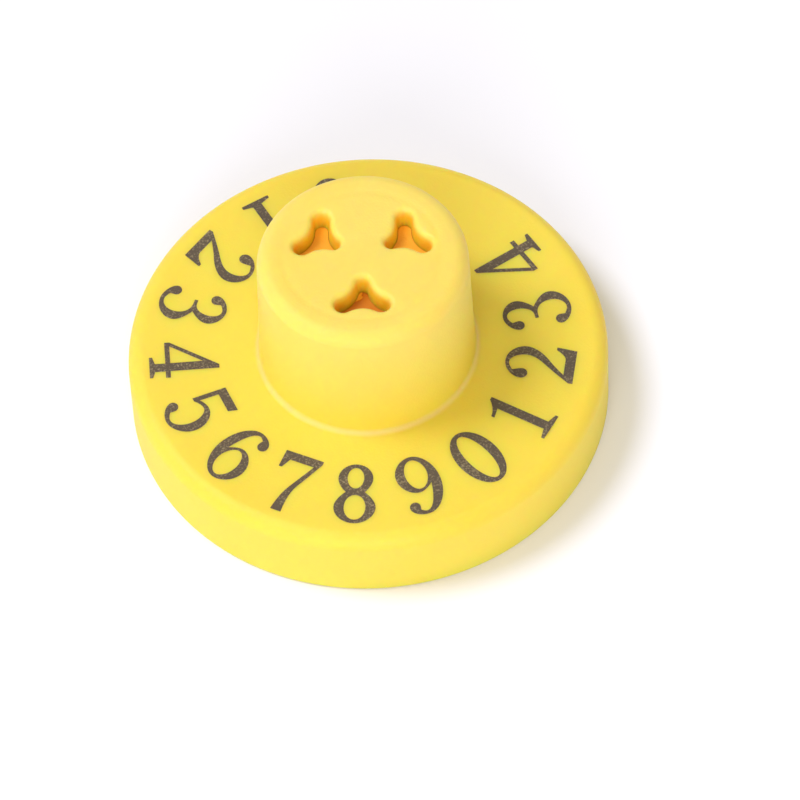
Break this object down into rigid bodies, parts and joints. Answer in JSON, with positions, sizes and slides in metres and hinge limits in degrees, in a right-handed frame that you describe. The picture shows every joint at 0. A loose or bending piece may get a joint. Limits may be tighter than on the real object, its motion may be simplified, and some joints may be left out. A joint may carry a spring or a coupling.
{
  "type": "livestock ear tag",
  "caption": "Round electronic ear tag button for livestock: a soft disc with a closed locking boss over a hard lock insert, and a sealed transponder coil in a ring pocket.",
  "frame": {"origin": "centre of the flat back face, at the bottom of the bounding box", "axes": "+Z along the axis of the disc and the stud bore, from the flat back towards the closed boss"},
  "size_m": [0.03, 0.03, 0.0144],
  "materials": {
    "body": "soft matte polyurethane",
    "insert": "hard moulded plastic",
    "cover": "soft matte polyurethane",
    "coil": "varnished copper wire",
    "board": "laminate",
    "chip": "moulded package",
    "capacitor": "ceramic"
  },
  "bodies": {
    "root": {"tag_body": "body", "lock_insert": "insert", "back_cover": "cover", "antenna_coil": "coil", "circuit_board": "board", "transponder_chip": "chip", "tuning_capacitor": "capacitor"}
  },
  "joints": []
}
